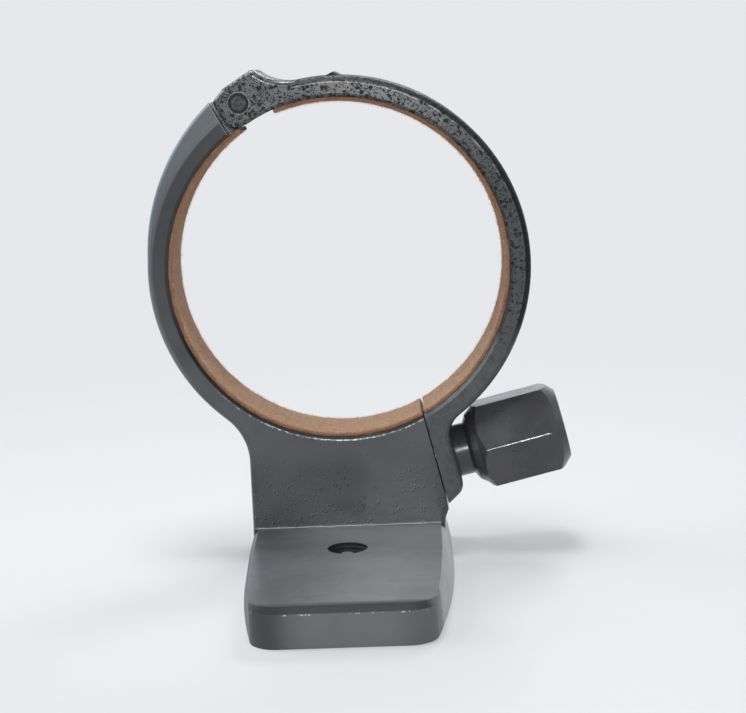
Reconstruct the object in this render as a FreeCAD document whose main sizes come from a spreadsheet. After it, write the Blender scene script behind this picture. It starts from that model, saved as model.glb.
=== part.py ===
import FreeCAD, Part
import Sketcher
import math
import os

# Lens tripod collar: a cast base whose foot takes the tripod screw and whose ring holds half of
# the lens barrel, and a hinged arm that closes the ring and is held by a six-sided clamp knob.
# Millimetres, +Z up. The origin is the tripod thread's axis on the underside of the foot.
# The ring's axis runs along Y; the camera side of the collar faces -Y.

SIZES = (
    # ring
    ("collar_width", 16.0, "length of the ring along the lens"),
    ("ring_front", 16.0, "from the tripod thread back to the ring's front face"),
    ("bore_stand", 26.75, "lowest point of the bore above the underside of the foot"),
    ("bore_radius", 35.0, "metal bore under the felt"),
    ("base_wall", 4.25, "thickness of the base's half ring"),
    ("arm_wall", 4.3, "thickness of the arm"),
    ("edge_round", 1.1, "rounding of the outer front and back edges"),
    ("bore_chamfer", 0.7, "chamfer on the ends of the bore"),
    # felt lining
    ("felt_thickness", 0.8, "lining glued into the bore"),
    ("felt_setback", 0.75, "lining's distance from the ring's faces"),
    ("base_felt_lead", 4.2, "degrees from the pin to the end of the base's lining"),
    ("arm_felt_lead", 8.6, "degrees from the pin to the end of the arm's lining"),
    # clamping joint between arm and base
    ("clamp_tilt", 13.3, "degrees that the knob's axis rises outwards"),
    ("parting_offset", 8.57, "base's clamping face from the ring axis, along the knob"),
    ("parting_gap", 0.3, "space between the two clamping faces"),
    ("lip_drop", 19.5, "lower end of the base's clamping face below the bore"),
    ("lug_thickness", 3.98, "thickness of the arm's clamping lug"),
    ("lug_drop", 18.75, "lower end of the lug below the bore"),
    ("lug_blend", 5.0, "fillet between the lug and the arm's outside"),
    ("lug_corner", 3.0, "rounding of the lug's lower corner"),
    ("lug_slope", 2.33, "width of the lug's sloping end"),
    ("lug_slope_rise", 1.35, "rise of the lug's sloping end"),
    ("screw_drop", 9.8, "knob axis below the bore, across the knob"),
    # post
    ("post_left", 20.35, "post's left side from the middle"),
    ("post_right", 20.0, "post's right side from the middle"),
    ("post_shoulder", 8.5, "height of the post's right shoulder above the underside"),
    ("post_blend", 12.0, "fillet between the ring and the post's left side"),
    ("post_root", 4.0, "height at which the post ends inside the foot"),
    # heel of the base beside the hinge
    ("heel_start", 175.0, "angle at which the ring starts to thicken"),
    ("heel_swell", 4.35, "how much flatter the thickening outside curves than the ring"),
    ("shoulder_rise", 3.18, "top of the shoulder above the pin"),
    ("shoulder_gap", 0.75, "space between the shoulder and the arm's ears"),
    # hinge
    ("pin_angle", 118.6, "angle of the hinge pin on the ring"),
    ("pin_out", 4.2, "hinge pin's distance outside the bore"),
    ("pin_radius", 1.5, "hinge pin"),
    ("pin_clearance", 0.05, "running clearance of the pin in the tongue"),
    ("pin_inset", 0.45, "pin's ends below the ears' faces"),
    ("pin_rim", 2.15, "radius of the sunk ring round the pin's ends"),
    ("pin_rim_depth", 0.35, "depth of the sunk ring"),
    ("pin_dimple", 0.75, "radius of the dimple in the pin's ends"),
    ("tongue_width", 7.0, "base's middle knuckle along the pin"),
    ("tongue_radius", 4.0, "round end of the middle knuckle"),
    ("tongue_gap", 0.2, "space beside the middle knuckle"),
    ("swing_gap", 0.25, "space round the middle knuckle"),
    ("ear_crest", 4.45, "highest point of the ears above the pin"),
    ("ear_crest_reach", 5.3, "crest's distance from the pin towards the arm"),
    ("ear_corner", 1.4, "rounding of the ears' corners seen from the front"),
    ("ear_reach", 4.45, "ears' end beyond the pin, towards the base"),
    ("ear_under", 4.8, "round underside of the ears about the pin"),
    ("ear_top", 4.1, "ears' top over the pin"),
    ("ear_hollow", 10.7, "hollow curve that leads from the arm up to the crest"),
    ("ear_root_reach", 13.5125, "hollow curve's start, from the pin round the arm"),
    ("nub_angle", 89.4, "angle of the small casting nub on the arm's top"),
    ("nub_rise", 0.65, "height of the nub"),
    ("nub_width", 2.8, "width of the nub"),
    # foot
    ("foot_thickness", 7.7, "thickness of the foot"),
    ("foot_reach", 36.6, "from the tripod thread to the foot's front end"),
    ("foot_half", 21.5, "half width of the foot's underside under the ring"),
    ("foot_flat", 12.0, "half width of the flat front end"),
    ("foot_side_start", 14.0, "where the sides start to draw in"),
    ("foot_corner", 5.4, "radius of the underside's front corners"),
    ("foot_rim", 1.3, "height of the foot's bevelled upper rim"),
    ("foot_lean", 1.4, "how far the foot's sides lean in below the rim"),
    ("foot_nose_lean", 0.15, "how far the foot's front end leans in below the rim"),
    ("foot_rim_inset", 1.0, "how far the rim draws in further"),
    # tripod thread
    ("socket_radius", 4.05, "hole through the foot that takes the bushing"),
    ("burr_width", 2.6, "width of the burr on the hole's front edge"),
    ("burr_reach", 1.3, "length of the burr"),
    ("burr_thickness", 0.6, "thickness of the burr"),
    ("bushing_length", 5.2, "thread bushing"),
    ("bushing_bore", 2.56, "minor radius of the quarter inch thread"),
    ("bushing_slot", 1.2, "width of the bushing's screwdriver slot"),
    ("bushing_slot_depth", 0.9, "depth of the screwdriver slot"),
    ("bushing_clearance", 0.05, "space round the bushing"),
    # clamp knob
    ("knob_stand", 0.2, "knob's neck face outside the lug's face"),
    ("neck_radius", 5.5, "knob's neck"),
    ("neck_length", 2.75, "knob's neck"),
    ("flare_radius", 8.1, "cone between the neck and the flats"),
    ("flare_step", 7.1, "inner radius of that cone"),
    ("flare_step_length", 0.85, "length of the steep first part"),
    ("flare_length", 1.35, "length of the cone"),
    ("crown_length", 1.55, "length of the cone that cuts the flats"),
    ("knob_radius", 10.05, "knob across its corners, halved"),
    ("knob_flat", 8.7, "knob across its flats, halved"),
    ("knob_length", 23.25, "neck face to outer end"),
    ("knob_end_radius", 7.25, "flat outer end"),
    ("knob_turn", 26.0, "degrees that the knob's corners are turned"),
    ("sink_clearance", 0.2, "space round the neck in the lug"),
    ("sink_depth", 1.2, "depth of the sunk seat in the lug"),
    # clamp screw and washer
    ("screw_radius", 2.5, "clamp screw"),
    ("screw_clearance", 0.1, "space round the screw"),
    ("screw_grip", 9.5, "screw's length inside the knob"),
    ("screw_release", 0.08, "full thread's end above the clamping face"),
    ("dog_radius", 1.9, "plain point of the screw"),
    ("dog_length", 1.6, "plain point of the screw"),
    ("tapped_depth", 9.0, "threaded hole in the base"),
    ("washer_thickness", 0.4, "washer under the knob"),
    ("washer_inset", 0.05, "washer's edge inside the neck's"),
)

SHEET = "sizes"


class Size:
    """A number together with the sheet expression that gives it."""

    def __init__(self, value, text):
        self.value = value
        self.text = text

    def __add__(self, other):
        other = as_size(other)
        return Size(self.value + other.value, "(%s + %s)" % (self.text, other.text))

    def __sub__(self, other):
        other = as_size(other)
        return Size(self.value - other.value, "(%s - %s)" % (self.text, other.text))

    def __mul__(self, other):
        other = as_size(other)
        return Size(self.value * other.value, "(%s * %s)" % (self.text, other.text))

    def __truediv__(self, other):
        other = as_size(other)
        return Size(self.value / other.value, "(%s / %s)" % (self.text, other.text))

    def __neg__(self):
        return as_size(0.0) - self


def as_size(value):
    if isinstance(value, Size):
        return value
    return Size(float(value), repr(float(value)))


def root(size):
    return Size(math.sqrt(size.value), "sqrt(%s)" % size.text)


def sine(size):
    return Size(math.sin(math.radians(size.value)), "sin(%s)" % size.text)


def cosine(size):
    return Size(math.cos(math.radians(size.value)), "cos(%s)" % size.text)


def other_leg(long_side, leg):
    """The remaining leg of a right triangle."""
    return root(long_side * long_side - leg * leg)


class Sizes:
    """Reads the sheet's cells as sizes, by their aliases."""

    def __init__(self, doc):
        sheet = doc.addObject("Spreadsheet::Sheet", SHEET)
        for row, (alias, value, meaning) in enumerate(SIZES, 1):
            sheet.set("A%d" % row, alias)
            sheet.set("B%d" % row, str(value))
            sheet.set("C%d" % row, meaning)
            sheet.setAlias("B%d" % row, alias)
        doc.recompute()
        for alias, value, meaning in SIZES:
            setattr(self, alias, Size(float(sheet.get(alias)), "%s.%s" % (SHEET, alias)))


doc = FreeCAD.newDocument("lens_tripod_collar")
dim = Sizes(doc)

# Sizes that follow from the bore, so that a wider or narrower collar keeps its walls and hinge.
dim.ring_height = dim.bore_radius + dim.bore_stand
dim.base_radius = dim.bore_radius + dim.base_wall
dim.arm_radius = dim.bore_radius + dim.arm_wall
dim.heel_radius = dim.base_radius + dim.heel_swell
dim.pin_orbit = dim.bore_radius + dim.pin_out
dim.ear_root_angle = dim.pin_angle - dim.ear_root_reach / dim.arm_radius * (180 / math.pi)
dim.base_lip = dim.bore_radius + dim.lip_drop
dim.lug_depth = dim.bore_radius + dim.lug_drop
dim.screw_depth = dim.bore_radius + dim.screw_drop

# Places that several pieces share, all measured from the ring axis.
ring_back = dim.ring_front + dim.collar_width
ring_middle = dim.ring_front + dim.collar_width / 2
arm_face = dim.parting_offset + dim.parting_gap
lug_face = arm_face + dim.lug_thickness
sink_floor = lug_face - dim.sink_depth
neck_face = lug_face + dim.knob_stand
ear_end = dim.ear_reach
shoulder = ear_end + dim.shoulder_gap
shoulder_foot = other_leg(dim.bore_radius, shoulder) - dim.pin_orbit
slot_radius = dim.tongue_radius + dim.swing_gap


def polar(radius, angle):
    return (radius * cosine(angle), radius * sine(angle))


def by_clamp(along, down):
    """A point by its place along the knob's axis and its depth below the ring axis."""
    tilt = dim.clamp_tilt
    return (along * cosine(tilt) + down * sine(tilt), along * sine(tilt) - down * cosine(tilt))


def by_pin(around, out):
    """A point seen from the pin: around the ring towards the base, and outwards."""
    angle = dim.pin_angle
    x = dim.pin_orbit * cosine(angle) - around * sine(angle) + out * cosine(angle)
    z = dim.pin_orbit * sine(angle) + around * cosine(angle) + out * sine(angle)
    return (x, z)


def origin_plane(body, role):
    for feature in body.Origin.OriginFeatures:
        if feature.Role == role:
            return feature


def new_sketch(body, name, role, base, axis=(0, 1, 0), angle=None):
    """A sketch on one of the body's own planes, moved by base and turned by angle."""
    sketch = body.newObject("Sketcher::SketchObject", name)
    sketch.AttachmentSupport = [(origin_plane(body, role), "")]
    sketch.MapMode = "FlatFace"
    offset = [as_size(value) for value in base]
    turn = 0.0 if angle is None else angle.value
    rotation = FreeCAD.Rotation(FreeCAD.Vector(*axis), turn)
    sketch.AttachmentOffset = FreeCAD.Placement(FreeCAD.Vector(*[o.value for o in offset]), rotation)
    for letter, size in zip("xyz", offset):
        sketch.setExpression("AttachmentOffset.Base.%s" % letter, size.text)
    if angle is not None:
        sketch.setExpression("AttachmentOffset.Rotation.Angle", angle.text)
    return sketch


def face_sketch(body, name, depth):
    """A sketch across the ring at a depth, with its zero on the ring axis."""
    return new_sketch(body, name, "XZ_Plane", (0, dim.ring_height, -depth))


def knob_plane(along):
    """The place and turn of a plane across the knob's axis."""
    x, z = by_clamp(along, dim.screw_depth)
    return (x, ring_middle, z + dim.ring_height), as_size(90) - dim.clamp_tilt


def axis_sketch(body, name, along):
    place, angle = knob_plane(along)
    return new_sketch(body, name, "XY_Plane", place, (0, 1, 0), angle)


def bind(sketch, constraint, size):
    index = sketch.addConstraint(constraint)
    sketch.setExpression("Constraints[%d]" % index, size.text)


def arc_between(start, end, radius, turn):
    """The smaller arc from start to end that turns left or right, and which end comes first."""
    if turn == "right":
        start, end = end, start
    half = (end - start) / 2
    rise = math.sqrt(max(radius * radius - half.Length ** 2, 0.0))
    left = FreeCAD.Vector(-half.y, half.x, 0).normalize()
    centre = start + half + left * rise
    circle = Part.Circle(centre, FreeCAD.Vector(0, 0, 1), radius)
    first = math.atan2(start.y - centre.y, start.x - centre.x)
    last = math.atan2(end.y - centre.y, end.x - centre.x)
    return Part.ArcOfCircle(circle, first, last)


def add_outline(sketch, corners):
    """A closed outline. Each corner is a point and None for a line or (radius, turn) for an arc."""
    points = [FreeCAD.Vector(corner[0][0].value, corner[0][1].value, 0) for corner in corners]
    ends = []
    for index, (corner, bend) in enumerate(corners):
        start = points[index]
        end = points[(index + 1) % len(points)]
        if bend is None:
            edge = sketch.addGeometry(Part.LineSegment(start, end))
            ends.append((edge, 1, 2))
        else:
            radius, turn = bend
            edge = sketch.addGeometry(arc_between(start, end, radius.value, turn))
            ends.append((edge, 1, 2) if turn == "left" else (edge, 2, 1))
            bind(sketch, Sketcher.Constraint("Radius", edge, radius.value), radius)
    for index, (edge, first, last) in enumerate(ends):
        after, joined, unused = ends[(index + 1) % len(ends)]
        sketch.addConstraint(Sketcher.Constraint("Coincident", edge, last, after, joined))
        x, y = corners[index][0]
        bind(sketch, Sketcher.Constraint("DistanceX", -1, 1, edge, first, x.value), x)
        bind(sketch, Sketcher.Constraint("DistanceY", -1, 1, edge, first, y.value), y)


def add_circle(sketch, centre, radius):
    x, y = (as_size(value) for value in centre)
    middle = FreeCAD.Vector(x.value, y.value, 0)
    edge = sketch.addGeometry(Part.Circle(middle, FreeCAD.Vector(0, 0, 1), radius.value))
    bind(sketch, Sketcher.Constraint("Radius", edge, radius.value), radius)
    bind(sketch, Sketcher.Constraint("DistanceX", -1, 1, edge, 3, x.value), x)
    bind(sketch, Sketcher.Constraint("DistanceY", -1, 1, edge, 3, y.value), y)


def new_body(name):
    body = doc.addObject("PartDesign::Body", name)
    body.Label = name
    return body


def pad(body, name, sketch, length):
    feature = body.newObject("PartDesign::Pad", name)
    feature.Profile = sketch
    feature.setExpression("Length", as_size(length).text)
    doc.recompute()
    return feature


def pocket(body, name, sketch, length, reverse=False):
    """A cut along the sketch's back side, or its front side when reversed."""
    before = body.Shape.Volume
    feature = body.newObject("PartDesign::Pocket", name)
    feature.Profile = sketch
    feature.Reversed = reverse
    feature.setExpression("Length", as_size(length).text)
    doc.recompute()
    if not body.Shape.Volume < before - 1e-6:
        raise RuntimeError(name + " cuts nothing")
    return feature


def fillet(body, name, wanted, size):
    """Rounds the wanted edges of the body's last feature."""
    base = body.Tip
    shape = base.Shape
    edges = ["Edge%d" % number for number, edge in enumerate(shape.Edges, 1) if wanted(edge)]
    feature = body.newObject("PartDesign::Fillet", name)
    feature.Base = (base, edges)
    feature.setExpression("Radius", size.text)
    doc.recompute()
    return feature


def edge_middle(edge):
    return edge.valueAt((edge.FirstParameter + edge.LastParameter) / 2)


def on_faces(edge):
    """True for an edge that lies in the ring's front or back face."""
    ys = [vertex.Point.y for vertex in edge.Vertexes] + [edge_middle(edge).y]
    front = all(abs(y - dim.ring_front.value) < 1e-4 for y in ys)
    back = all(abs(y - ring_back.value) < 1e-4 for y in ys)
    return front or back


def axis_distance(point):
    return math.hypot(point.x, point.z - dim.ring_height.value)


def along_clamp(point):
    tilt = math.radians(dim.clamp_tilt.value)
    return point.x * math.cos(tilt) + (point.z - dim.ring_height.value) * math.sin(tilt)


def around_pin(point):
    """How far a point lies from the pin, around the ring towards the base."""
    turn = math.radians(dim.pin_angle.value)
    return -point.x * math.sin(turn) + (point.z - dim.ring_height.value) * math.cos(turn)


def off_bore(edge):
    clear = dim.bore_radius.value + dim.felt_thickness.value
    return on_faces(edge) and axis_distance(edge_middle(edge)) > clear


def base_outline():
    """The base seen from the front, without the foot."""
    blend_x = dim.post_left + dim.post_blend
    blend_reach = dim.base_radius + dim.post_blend
    blend_z = other_leg(blend_reach, blend_x)
    share = dim.base_radius / blend_reach
    bore_corner = other_leg(dim.bore_radius, dim.parting_offset)
    floor = dim.post_root - dim.ring_height
    step = dim.post_shoulder - dim.ring_height
    return [
        (by_clamp(dim.parting_offset, bore_corner), None),
        (by_clamp(dim.parting_offset, dim.base_lip), None),
        ((dim.post_right, step), None),
        ((dim.post_right, floor), None),
        ((-dim.post_left, floor), None),
        ((-dim.post_left, -blend_z), (dim.post_blend, "left")),
        ((-(blend_x * share), -(blend_z * share)), (dim.base_radius, "right")),
        (polar(dim.base_radius, dim.heel_start), (dim.heel_radius, "right")),
        (by_pin(shoulder, dim.shoulder_rise), None),
        (by_pin(shoulder, shoulder_foot), (dim.bore_radius, "left")),
    ]


def tongue_outline():
    """The middle knuckle that grows from the shoulder round the pin."""
    inside = shoulder + dim.shoulder_gap
    radius = dim.tongue_radius
    zero = as_size(0)
    return [
        (by_pin(inside, dim.shoulder_rise - dim.pin_inset), None),
        (by_pin(inside, shoulder_foot), None),
        (by_pin(zero, -radius), (radius, "left")),
        (by_pin(-radius, zero), (radius, "left")),
        (by_pin(zero, radius), None),
    ]


def arm_outline():
    """The arm seen from the front: lug, ring segment and hinge ears."""
    zero = as_size(0)
    blend_p = lug_face + dim.lug_blend
    blend_reach = dim.arm_radius + dim.lug_blend
    blend_q = other_leg(blend_reach, blend_p)
    share = dim.arm_radius / blend_reach
    bore_corner = other_leg(dim.bore_radius, arm_face)
    slope_end = arm_face + dim.lug_slope
    slope_depth = dim.lug_depth - dim.lug_slope_rise
    corner_depth = slope_depth - dim.lug_corner
    crest = dim.ear_corner * 0.75
    orbit = dim.pin_orbit
    ear_foot = (orbit * orbit + dim.bore_radius * dim.bore_radius - dim.ear_under * dim.ear_under) / (orbit * 2)
    return [
        (by_clamp(arm_face, bore_corner), (dim.bore_radius, "left")),
        (polar(dim.bore_radius, dim.pin_angle - dim.arm_felt_lead), (dim.bore_radius, "left")),
        (by_pin(other_leg(dim.bore_radius, ear_foot), ear_foot - orbit), (dim.ear_under, "right")),
        (by_pin(ear_end, -other_leg(dim.ear_under, ear_end)), None),
        (by_pin(ear_end, ear_end * 0.5), (dim.ear_corner, "right")),
        (by_pin(ear_end * 0.785, ear_end * 0.746), None),
        (by_pin(ear_end * 0.29, dim.ear_top), None),
        (by_pin(-dim.ear_crest_reach, dim.ear_crest), (dim.ear_corner, "right")),
        (by_pin(-(dim.ear_crest_reach + crest), dim.ear_crest - crest), (dim.ear_hollow, "left")),
        (polar(dim.arm_radius, dim.ear_root_angle), (dim.arm_radius, "right")),
        (by_clamp(blend_p * share, blend_q * share), (dim.lug_blend, "left")),
        (by_clamp(lug_face, blend_q), None),
        (by_clamp(lug_face, corner_depth), (dim.lug_corner, "right")),
        (by_clamp(slope_end, slope_depth), None),
        (by_clamp(arm_face, dim.lug_depth), None),
    ]


def foot_outline(inset, nose_inset):
    """The foot seen from above: straight beside the ring, drawn in by arcs to rounded corners."""
    half = dim.foot_half - inset
    reach = dim.foot_reach - nose_inset
    corner = dim.foot_corner
    drop = half - dim.foot_flat
    run = dim.foot_side_start + reach - corner
    curve = (drop * drop + run * run - corner * corner) / ((drop - corner) * 2)
    share = curve / (curve - corner)
    meet_x = half - curve + (curve - drop) * share
    meet_y = dim.foot_side_start - run * share
    side = (curve, "left")
    bend = (corner, "left")
    return [
        ((half, ring_back), None),
        ((-half, ring_back), None),
        ((-half, dim.foot_side_start), side),
        ((-meet_x, meet_y), bend),
        ((-dim.foot_flat, -reach), None),
        ((dim.foot_flat, -reach), bend),
        ((meet_x, meet_y), side),
        ((half, dim.foot_side_start), None),
    ]


def bevel_bore(body):
    """Chamfers both ends of the bore by a turned cut about the ring axis."""
    over = dim.bore_chamfer
    low = dim.bore_radius - over
    high = dim.bore_radius + over * 2
    for name, face, into in (("front", dim.ring_front, over), ("back", ring_back, -over)):
        sketch = new_sketch(body, name + "_bevel_profile", "YZ_Plane", (0, dim.ring_height, 0))
        add_outline(sketch, [
            ((face - into, low), None),
            ((face + into * 2, low), None),
            ((face - into, high), None),
        ])
        groove = body.newObject("PartDesign::Groove", name + "_bevel")
        groove.Profile = sketch
        groove.ReferenceAxis = (sketch, ["H_Axis"])
        groove.Angle = 360.0
        doc.recompute()


def build_ring_half():
    """Ring, heel, hinge tongue and post of the base, with the holes for pin and screw."""
    body = new_body("ring_half")
    outline = face_sketch(body, "base_profile", ring_back)
    add_outline(outline, base_outline())
    pad(body, "base_block", outline, dim.collar_width)

    def outer(edge):
        middle = edge_middle(edge)
        on_shoulder = all(around_pin(v.Point) - shoulder.value < 1e-3 for v in edge.Vertexes)
        at_hinge = middle.z > dim.ring_height.value and on_shoulder
        return off_bore(edge) and middle.x < -1 and middle.z > dim.post_root.value + 1 and not at_hinge

    fillet(body, "outer_edges", outer, dim.edge_round)
    bevel_bore(body)
    tongue = face_sketch(body, "tongue_profile", ring_middle + dim.tongue_width / 2)
    add_outline(tongue, tongue_outline())
    pad(body, "tongue", tongue, dim.tongue_width)
    pin_hole = face_sketch(body, "pin_hole_profile", ring_back)
    add_circle(pin_hole, by_pin(as_size(0), as_size(0)), dim.pin_radius + dim.pin_clearance)
    pocket(body, "pin_hole", pin_hole, dim.collar_width, reverse=True)
    tapped = axis_sketch(body, "tapped_profile", dim.parting_offset)
    add_circle(tapped, (0, 0), dim.screw_radius + dim.screw_clearance)
    pocket(body, "tapped_hole", tapped, dim.tapped_depth)
    return body


def build_foot():
    """Foot with leaning sides, a bevelled upper rim and the hole for the tripod thread."""
    body = new_body("foot_form")
    zero = as_size(0)
    side_inset = dim.foot_lean + dim.foot_rim_inset
    nose_inset = dim.foot_nose_lean + dim.foot_rim_inset
    outlines = []
    for name, height, inset, nose in (
            ("sole", zero, zero, zero),
            ("rim", dim.foot_thickness - dim.foot_rim, dim.foot_lean, dim.foot_nose_lean),
            ("top", dim.foot_thickness, side_inset, nose_inset)):
        outline = new_sketch(body, name + "_profile", "XY_Plane", (0, 0, height))
        add_outline(outline, foot_outline(inset, nose))
        outlines.append(outline)
    block = body.newObject("PartDesign::AdditiveLoft", "foot_block")
    block.Profile = outlines[0]
    block.Sections = outlines[1:]
    block.Ruled = True
    doc.recompute()
    hole = new_sketch(body, "socket_profile", "XY_Plane", (0, 0, dim.foot_thickness))
    add_circle(hole, (0, 0), dim.socket_radius)
    pocket(body, "socket", hole, dim.foot_thickness)
    burr = new_sketch(body, "burr_profile", "XY_Plane", (0, 0, dim.foot_thickness - dim.burr_thickness))
    half = dim.burr_width / 2
    tip = dim.burr_reach - dim.socket_radius
    root_y = -other_leg(dim.socket_radius + dim.burr_thickness, half)
    add_outline(burr, [
        ((-half, root_y), None),
        ((half, root_y), None),
        ((half * 0.8, tip - half * 0.3), (half, "left")),
        ((-half * 0.8, tip - half * 0.3), None),
    ])
    pad(body, "burr", burr, dim.burr_thickness)
    return body


def build_base():
    fuse = doc.addObject("Part::MultiFuse", "base_casting")
    fuse.Shapes = [build_ring_half(), build_foot()]
    fuse.Refine = True
    fuse.Label = "base_casting"
    return fuse


def build_arm():
    """Hinged arm with its ears, casting nub and clamping lug."""
    body = new_body("arm_casting")
    outline = face_sketch(body, "arm_profile", ring_back)
    add_outline(outline, arm_outline())
    pad(body, "arm_block", outline, dim.collar_width)
    bevel_bore(body)

    def outer(edge):
        middle = edge_middle(edge)
        off_parting = along_clamp(middle) > arm_face.value + 0.1 or middle.z > dim.ring_height.value
        under_ear = axis_distance(middle) < dim.pin_orbit.value and around_pin(middle) > 0
        return off_bore(edge) and off_parting and not under_ear

    fillet(body, "outer_edges", outer, dim.edge_round)
    nub = face_sketch(body, "nub_profile", ring_back - dim.edge_round)
    half_turn = dim.nub_width / dim.arm_radius * (90 / math.pi)
    add_outline(nub, [
        (polar(dim.arm_radius - dim.nub_rise, dim.nub_angle - half_turn), None),
        (polar(dim.arm_radius, dim.nub_angle - half_turn), None),
        (polar(dim.arm_radius + dim.nub_rise, dim.nub_angle), None),
        (polar(dim.arm_radius, dim.nub_angle + half_turn), None),
        (polar(dim.arm_radius - dim.nub_rise, dim.nub_angle + half_turn), None),
    ])
    pad(body, "nub", nub, dim.collar_width - dim.edge_round * 2)
    cut_hinge_slot(body)
    cut_pin_holes(body)
    cut_screw_seat(body)
    return body


def cut_hinge_slot(body):
    """Room between the ears for the middle knuckle, open outwards so that the arm can swing."""
    half = dim.tongue_width / 2 + dim.tongue_gap
    slot = face_sketch(body, "slot_profile", ring_middle + half)
    far = dim.pin_out + dim.ear_crest
    zero = as_size(0)
    add_outline(slot, [
        (by_pin(-slot_radius, zero), None),
        (by_pin(-slot_radius, far), None),
        (by_pin(far, far), None),
        (by_pin(far, -far), None),
        (by_pin(zero, -far), None),
        (by_pin(zero, -slot_radius), (slot_radius, "left")),
    ])
    pocket(body, "hinge_slot", slot, half * 2, reverse=True)


def cut_pin_holes(body):
    """The pin is pressed into both ears; its ends lie in sunk rings."""
    centre = by_pin(as_size(0), as_size(0))
    hole = face_sketch(body, "pin_hole_profile", ring_back)
    add_circle(hole, centre, dim.pin_radius)
    pocket(body, "pin_hole", hole, dim.collar_width, reverse=True)
    rear = face_sketch(body, "rear_rim_profile", ring_back)
    add_circle(rear, centre, dim.pin_rim)
    pocket(body, "rear_rim", rear, dim.pin_rim_depth, reverse=True)
    front = face_sketch(body, "front_rim_profile", dim.ring_front)
    add_circle(front, centre, dim.pin_rim)
    pocket(body, "front_rim", front, dim.pin_rim_depth)


def cut_screw_seat(body):
    """Through hole for the screw and the sunk seat for washer and neck."""
    outside = lug_face + dim.lug_blend
    hole = axis_sketch(body, "screw_hole_profile", outside)
    add_circle(hole, (0, 0), dim.screw_radius + dim.screw_clearance)
    pocket(body, "screw_hole", hole, outside - arm_face + dim.parting_gap)
    sink = axis_sketch(body, "sink_profile", outside)
    add_circle(sink, (0, 0), dim.neck_radius + dim.sink_clearance)
    pocket(body, "sink", sink, outside - sink_floor)


def build_felt(name, corners):
    """A lining between two outlines' ends, set back from the ring's faces."""
    body = new_body(name)
    outline = face_sketch(body, name + "_profile", ring_back - dim.felt_setback)
    add_outline(outline, corners)
    pad(body, name + "_lining", outline, dim.collar_width - dim.felt_setback * 2)
    return body


def build_felts():
    outer = dim.bore_radius
    inner = dim.bore_radius - dim.felt_thickness
    base_end = dim.pin_angle + dim.base_felt_lead
    arm_end = dim.pin_angle - dim.arm_felt_lead
    base = build_felt("base_felt", [
        (polar(outer, base_end), (outer, "left")),
        (by_clamp(dim.parting_offset, other_leg(outer, dim.parting_offset)), None),
        (by_clamp(dim.parting_offset, other_leg(inner, dim.parting_offset)), (inner, "right")),
        (polar(inner, base_end), None),
    ])
    arm = build_felt("arm_felt", [
        (by_clamp(arm_face, other_leg(outer, arm_face)), (outer, "left")),
        (polar(outer, arm_end), None),
        (polar(inner, arm_end), (inner, "right")),
        (by_clamp(arm_face, other_leg(inner, arm_face)), None),
    ])
    return [base, arm]


def build_pin():
    """Hinge pin with a dimple in each end."""
    body = new_body("hinge_pin")
    centre = by_pin(as_size(0), as_size(0))
    length = dim.collar_width - dim.pin_inset * 2
    outline = face_sketch(body, "pin_profile", ring_back - dim.pin_inset)
    add_circle(outline, centre, dim.pin_radius)
    pad(body, "pin", outline, length)
    depth = dim.pin_dimple / 2
    rear = face_sketch(body, "rear_dimple_profile", ring_back - dim.pin_inset)
    add_circle(rear, centre, dim.pin_dimple)
    pocket(body, "rear_dimple", rear, depth, reverse=True)
    front = face_sketch(body, "front_dimple_profile", dim.ring_front + dim.pin_inset)
    add_circle(front, centre, dim.pin_dimple)
    pocket(body, "front_dimple", front, depth)
    return body


def turned_body(name, along):
    """A body whose own Z axis is the knob's axis, with its zero at a place along it."""
    body = new_body(name)
    (x, y, z), angle = knob_plane(along)
    rotation = FreeCAD.Rotation(FreeCAD.Vector(0, 1, 0), angle.value)
    body.Placement = FreeCAD.Placement(FreeCAD.Vector(x.value, y.value, z.value), rotation)
    for letter, size in zip("xyz", (x, y, z)):
        body.setExpression("Placement.Base.%s" % letter, size.text)
    body.setExpression("Placement.Rotation.Angle", angle.text)
    return body


def revolve(body, name, corners):
    """A turned form from its half section, given as radius and length along the axis."""
    sketch = new_sketch(body, name + "_section", "XZ_Plane", (0, 0, 0))
    points = [(as_size(radius), as_size(length)) for radius, length in corners]
    add_outline(sketch, [(point, None) for point in points])
    feature = body.newObject("PartDesign::Revolution", name)
    feature.Profile = sketch
    feature.ReferenceAxis = (sketch, ["V_Axis"])
    feature.Angle = 360.0
    doc.recompute()
    return feature


def build_knob():
    """Turned blank with a neck, a flared shoulder and a coned end, then milled to six flats."""
    body = turned_body("clamp_knob", neck_face)
    step = dim.neck_length + dim.flare_step_length
    cone = step + dim.flare_length
    crown = cone + dim.crown_length
    end_cone = dim.knob_length - (dim.knob_radius - dim.knob_end_radius)
    revolve(body, "blank", [
        (0, 0),
        (dim.neck_radius, 0),
        (dim.neck_radius, dim.neck_length),
        (dim.flare_step, step),
        (dim.flare_radius, cone),
        (dim.knob_radius, crown),
        (dim.knob_radius, end_cone),
        (dim.knob_end_radius, dim.knob_length),
        (0, dim.knob_length),
    ])
    bore = new_sketch(body, "screw_bore_profile", "XY_Plane", (0, 0, 0))
    add_circle(bore, (0, 0), dim.screw_radius)
    pocket(body, "screw_bore", bore, dim.screw_grip, reverse=True)
    flats = new_sketch(body, "flats_profile", "XY_Plane", (0, 0, dim.neck_length))
    corner_radius = dim.knob_flat / cosine(as_size(30))
    corners = [polar(corner_radius, dim.knob_turn + 60 * number) for number in range(6)]
    add_outline(flats, [(point, None) for point in corners])
    add_circle(flats, (0, 0), dim.knob_radius * 1.5)
    pocket(body, "flats", flats, dim.knob_length, reverse=True)
    return body


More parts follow.
